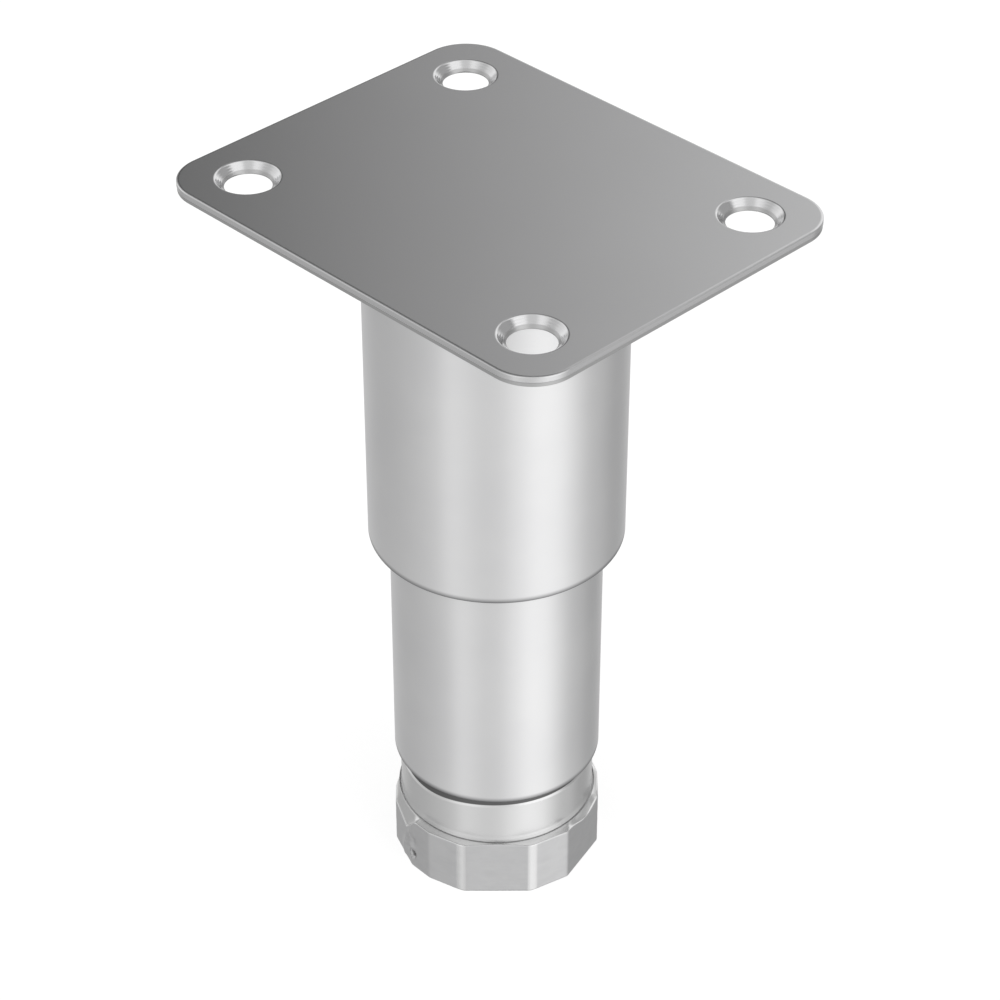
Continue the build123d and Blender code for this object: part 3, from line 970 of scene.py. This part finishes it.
# %% Zinc plate and spring steel
def plated_steel(name, bright, dull, roughness):
    """Electroplated metal: small soft spangles in brightness and in gloss."""
    recipe = new_finish(name)
    place = recipe.place_mm()
    spangle = recipe.noise(place, 0.8, 4.0, 0.6)
    fine = recipe.noise(place, 6.0, 2.0)
    recipe.shade(
        {
            "Base Color": recipe.tint(spangle.between(0.35, 0.65), (*dull, 1), (*bright, 1)),
            "Metallic": 1.0,
            "Roughness": roughness + (spangle - 0.5) * 0.12,
            "Normal": recipe.bump(fine, 0.1, 0.00003),
        }
    )


plated_steel("plain_steel", (0.70, 0.72, 0.75), (0.58, 0.60, 0.64), 0.32)
plated_steel("spring_steel", (0.20, 0.20, 0.21), (0.12, 0.12, 0.13), 0.45)

# %% [markdown]
# Plastic and rubber take the fine grain of their mould, and go a little paler where they are handled
# or rubbed. They aren't metallic, so their own colour shows.

# %% Plastics and rubber
def moulded(name, colour, worn, roughness, grain_scale):
    """A moulded skin: fine even grain, and a slightly paler cast where it was handled."""
    recipe = new_finish(name)
    place = recipe.place_mm()
    grain = recipe.noise(place, grain_scale, 2.0)
    patches = recipe.noise(place, 0.12, 3.0)
    recipe.shade(
        {
            "Base Color": recipe.tint(patches.between(0.35, 0.7), (*colour, 1), (*worn, 1)),
            "Roughness": roughness + (patches - 0.5) * 0.1,
            "Normal": recipe.bump(grain, 0.15, 0.00005),
        }
    )


moulded("white_plastic", (0.82, 0.82, 0.79), (0.88, 0.88, 0.86), 0.42, 3.0)
moulded("black_plastic", (0.018, 0.018, 0.02), (0.035, 0.035, 0.037), 0.48, 4.0)
moulded("seal_rubber", (0.012, 0.012, 0.012), (0.025, 0.025, 0.025), 0.6, 6.0)
print("finishes:", ", ".join(finishes))

# %% [markdown]
# A CAD piece that wasn't made anew keeps its mesh, and the record names the slot of its finish. The
# new pieces carry the name of their slot themselves.

# %% Each piece gets the finish of its slot
slot_of = {part["node"]: part["material_slot"] for part in frame["record"]["subparts"]}
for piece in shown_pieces():
    slot = piece.get("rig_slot") or slot_of[piece.name]
    piece.data.materials.clear()
    piece.data.materials.append(finishes[slot])
    print(f"{piece.name}: {slot}")

# %% [markdown]
# ## The studio
# A photographer of bare metal builds a tent of white cloths and black cards, and moves them until
# the metal shows the right bands. The world does that here. For every direction it works out how
# far round from the camera that direction lies, and a ramp says how bright the tent is there. So
# the place of the camera comes first.

# %% Where the camera stands
camera_azimuth, camera_elevation = math.radians(45.37), math.radians(36.44)
camera_distance, target_height = 587.05, 85.25
lens_mm, sensor_mm, frame_shift = 107.58, 36.0, 0.0033
back = np.array(
    [
        math.sin(camera_azimuth) * math.cos(camera_elevation),
        -math.cos(camera_azimuth) * math.cos(camera_elevation),
        math.sin(camera_elevation),
    ]
)
toward_camera = math.degrees(math.atan2(back[1], back[0]))
print("the camera stands at", round(toward_camera, 2), "degrees about Z")

# %% [markdown]
# One ramp serves what lies below the horizon, which upright walls mirror to a camera that looks
# down. Another one serves what lies above it, which flat tops mirror, and a third what is overhead.
# Straight below it is dark, and that draws the thin dark line under each lower edge.
#
# The camera itself sees plain white instead of the tent, so that every view has the same backdrop.

# %% Brightness of the tent, by degrees round from the camera
below_horizon = [
    (-180, 0.70),
    (-150, 0.60),
    (-124, 0.48),
    (-98, 0.52),
    (-74, 0.60),
    (-54, 0.68),
    (-40, 0.92),
    (-27, 0.85),
    (-12, 0.78),
    (2, 0.82),
    (18, 1.00),
    (36, 1.16),
    (56, 1.12),
    (68, 0.88),
    (84, 0.62),
    (98, 0.62),
    (116, 0.42),
    (136, 0.44),
    (156, 0.62),
    (180, 0.70),
]
above_horizon = [
    (-180, 0.42),
    (-172, 0.15),
    (-164, 0.06),
    (-152, 0.40),
    (-134, 1.10),
    (-112, 0.90),
    (-92, 0.66),
    (-70, 0.62),
    (-54, 1.00),
    (-36, 1.10),
    (-12, 0.82),
    (12, 0.82),
    (34, 1.40),
    (66, 1.30),
    (84, 0.40),
    (98, 0.46),
    (124, 0.46),
    (146, 1.15),
    (162, 1.05),
    (172, 0.71),
    (180, 0.42),
]
overhead = [
    (-180, 0.20),
    (-146, 0.20),
    (-112, 0.55),
    (-86, 0.80),
    (-40, 1.10),
    (-14, 0.78),
    (14, 0.78),
    (38, 1.15),
    (88, 1.15),
    (114, 0.90),
    (146, 0.25),
    (180, 0.20),
]


brightest = 2.0


def tent_ramp(recipe, round_from_camera, levels):
    """A smooth ramp over a whole turn, from pairs of degrees and brightness.

    A ramp's own levels end at 1, so brightness goes in as a share of the brightest.
    """
    settings = {"stops": [((degrees + 180) / 360, level / brightest) for degrees, level in levels]}
    return recipe.node("ShaderNodeValToRGB", settings, {0: round_from_camera}) * brightest


world = bpy.data.worlds.new("studio")
bpy.context.scene.world = world
recipe = Recipe(world)
direction = recipe.node("ShaderNodeTexCoord", {}, {}, "Generated")
dx, dy, dz = recipe.axes(direction)
turn = dy.apply("ARCTAN2", dx) * (1 / (2 * math.pi)) + (0.5 - toward_camera / 360)
round_from_camera = turn.apply("FRACT")
low = tent_ramp(recipe, round_from_camera, below_horizon)
high = tent_ramp(recipe, round_from_camera, above_horizon)
top = tent_ramp(recipe, round_from_camera, overhead)
# The height of a direction, dz, is the sine of its angle above the horizon
above = dz.between(-0.15, 0.15)
well_above = dz.between(0.66, 0.80)
straight_up = dz.between(0.955, 0.985)
straight_down = 1 - dz.between(-0.97, -0.84)
darkening_below, level_straight_up = 0.88, 0.75
walls = low * (1 - above) * (1 - straight_down * darkening_below) + high * above
tent = walls * (1 - well_above) + top * well_above
tent = tent * (1 - straight_up) + straight_up * level_straight_up
seen_directly = recipe.node("ShaderNodeLightPath", {}, {}, "Is Camera Ray")
strength = tent * (1 - seen_directly) + seen_directly
sky = recipe.node("ShaderNodeBackground", {}, {"Color": (1, 1, 1, 1), "Strength": strength})
recipe.node("ShaderNodeOutputWorld", {}, {"Surface": sky})
print("studio:", len(recipe.tree.nodes), "nodes")

# %% [markdown]
# The floor glows a little by itself, as a lit white table does, so that only a soft shadow is left
# under the leg. Mirrored rays don't see it: they see the tent, which goes on below the horizon.
# The floor rides on the sliding tube, so the leg still stands on it at every height.

# %% Floor
floor_half = 4.0
floor_mesh = bpy.data.meshes.new("floor")
floor_corners = [(-floor_half, -floor_half, 0), (floor_half, -floor_half, 0)]
floor_corners += [(floor_half, floor_half, 0), (-floor_half, floor_half, 0)]
floor_mesh.from_pydata(floor_corners, [], [(0, 1, 2, 3)])
floor = bpy.data.objects.new("floor", floor_mesh)
bpy.context.scene.collection.objects.link(floor)
recipe = new_finish("floor")
recipe.shade(
    {
        "Base Color": (0.36, 0.36, 0.36, 1),
        "Roughness": 1.0,
        "Specular IOR Level": 0.0,
        "Emission Color": (1, 1, 1, 1),
        "Emission Strength": 0.78,
    }
)
floor.data.materials.append(finishes["floor"])
floor.visible_glossy = False
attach(floor, "sliding_tube")

# %% [markdown]
# A long lens keeps upright edges nearly parallel, as in a catalogue. The camera aims at a point on the
# leg's axis about half-way up. Its white is the studio's white, with no film look over it.

# %% Camera
camera = bpy.data.objects.new("camera", bpy.data.cameras.new("camera"))
bpy.context.scene.collection.objects.link(camera)
camera.data.sensor_width = sensor_mm
camera.data.lens = lens_mm
camera.data.shift_x = frame_shift
camera.data.clip_start, camera.data.clip_end = 0.01, 20
target = np.array([0, 0, target_height])
camera.location = (target + back * camera_distance) * mm
camera.rotation_euler = (math.pi / 2 - camera_elevation, 0, camera_azimuth)
bpy.context.scene.camera = camera
bpy.context.scene.view_settings.view_transform = "Standard"
print("camera at", [round(c, 4) for c in camera.location])
